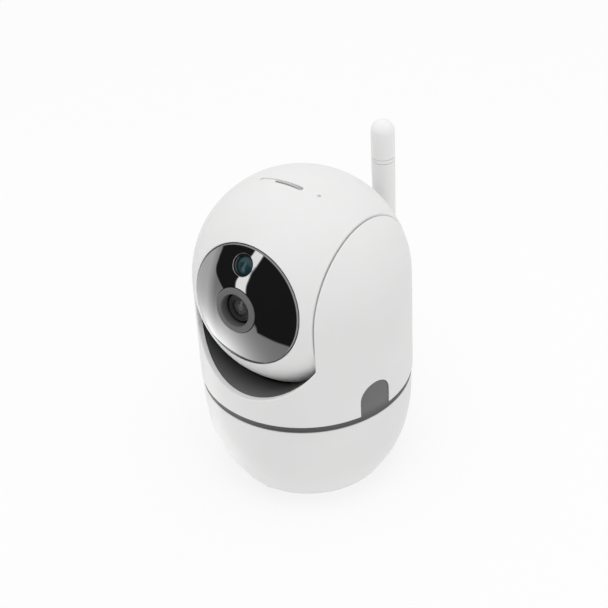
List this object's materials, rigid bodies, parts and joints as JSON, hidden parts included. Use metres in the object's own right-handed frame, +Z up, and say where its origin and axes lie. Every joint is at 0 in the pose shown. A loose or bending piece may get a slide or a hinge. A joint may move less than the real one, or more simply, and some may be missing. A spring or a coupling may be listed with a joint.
{
  "type": "pan and tilt baby monitor camera",
  "caption": "Desktop baby monitor camera: white egg-shaped body with a panning yoke, a tilting ball head behind a glossy black face, and a folding whip antenna.",
  "frame": {"origin": "on the pan axis, in the middle of the tripod thread; the feet stand 5.8 mm below it", "axes": "+Z up, the face looks towards -Y, +X is the side of the tilt motor"},
  "size_m": [0.084, 0.104, 0.1289],
  "materials": {
    "acetal": "natural acetal",
    "bezel_grey": "satin paint",
    "black_plastic": "matt black",
    "board_green": "solder mask",
    "brass": "turned",
    "cable_sheath": "soft sheath",
    "charcoal_plastic": "matt moulded plastic",
    "chip_black": "moulded epoxy",
    "copper": "bare copper",
    "face_gloss": "polished black",
    "lens_glass": "coated glass",
    "rubber": "soft matt rubber",
    "sensor_glass": "dark teal filter glass",
    "steel": "plated",
    "white_shell": "fine satin moulded plastic"
  },
  "bodies": {
    "base": {"base_bowl": "white_shell", "base_plate": "white_shell", "rubber_feet": "rubber", "tripod_insert": "brass", "base_screws": "steel", "power_board": "board_green", "power_board_parts": "chip_black", "power_jack": "steel", "speaker": "black_plastic", "base_deck": "charcoal_plastic", "pan_bush": "acetal", "pan_motor": "steel", "pan_motor_screws": "steel"},
    "pan_drive": {"pan_motor_shaft": "steel", "pan_pinion": "acetal"},
    "yoke": {"turntable": "charcoal_plastic", "pan_gear": "acetal", "pan_clip": "steel", "yoke_shell": "white_shell", "cradle_liner": "charcoal_plastic", "turntable_screws": "steel", "tilt_bush": "acetal", "tilt_motor": "steel", "tilt_motor_screws": "steel", "hub_cable": "cable_sheath", "antenna_cable": "cable_sheath", "antenna_mount": "white_shell", "antenna_nut": "steel"},
    "antenna_joint": {"antenna_collar": "white_shell", "antenna_pin": "steel"},
    "antenna_whip": {"antenna_sleeve": "white_shell", "antenna_cap": "white_shell", "antenna_element": "copper"},
    "head": {"head_shell": "white_shell", "head_back_cover": "white_shell", "face_window": "face_gloss", "face_carrier": "black_plastic", "lens_bezel": "bezel_grey", "lens_barrel": "black_plastic", "lens_glass": "lens_glass", "lens_holder": "black_plastic", "camera_board": "board_green", "image_sensor": "chip_black", "sensor_ring": "black_plastic", "sensor_lens": "sensor_glass", "ir_board": "board_green", "ir_lamps": "lens_glass", "main_board": "board_green", "main_board_parts": "chip_black", "card_socket": "white_shell", "reset_switch": "chip_black", "microphone": "steel", "trunnion": "acetal", "trunnion_clip": "steel", "tilt_shaft": "steel", "head_cable": "cable_sheath", "head_screws": "steel"},
    "card": {"memory_card": "chip_black"},
    "reset": {"reset_key": "white_shell"},
    "ir_filter": {"ir_cut_filter": "black_plastic"}
  },
  "joints": [
    {"name": "pan", "type": "hinge", "parent": "base", "child": "yoke", "pos_m": [0, 0, 0.0342], "axis": [0, 0, 1], "range_deg": [-177.5, 177.5]},
    {"name": "pan_drive_spin", "type": "hinge", "parent": "base", "child": "pan_drive", "pos_m": [0, -0.024, 0.0242], "axis": [0, 0, 1], "range_deg": [-710.5, 710.5]},
    {"name": "tilt", "type": "hinge", "parent": "yoke", "child": "head", "pos_m": [0, 0, 0.08113], "axis": [-1, 0, 0], "range_deg": [-30, 60]},
    {"name": "antenna_swivel", "type": "hinge", "parent": "yoke", "child": "antenna_joint", "pos_m": [0, 0.047, 0.0502], "axis": [0, 1, 0], "range_deg": [-90, 90]},
    {"name": "antenna_fold", "type": "hinge", "parent": "antenna_joint", "child": "antenna_whip", "pos_m": [0, 0.0567, 0.0502], "axis": [-1, 0, 0], "range_deg": [0, 90]},
    {"name": "card_slide", "type": "slide", "parent": "head", "child": "card", "axis": [0, -0.0993, 0.9951], "range_m": [0, 0.012]},
    {"name": "reset_press", "type": "slide", "parent": "head", "child": "reset", "axis": [-0.2907, 0.0734, -0.954], "range_m": [0, 0.0004], "stiffness_N_per_m": 200},
    {"name": "ir_filter_slide", "type": "slide", "parent": "head", "child": "ir_filter", "axis": [1, 0, 0], "range_m": [0, 0.005]}
  ],
  "couplings": [
    {"joint": "pan_drive_spin", "follows": "pan", "ratio": -4}
  ]
}
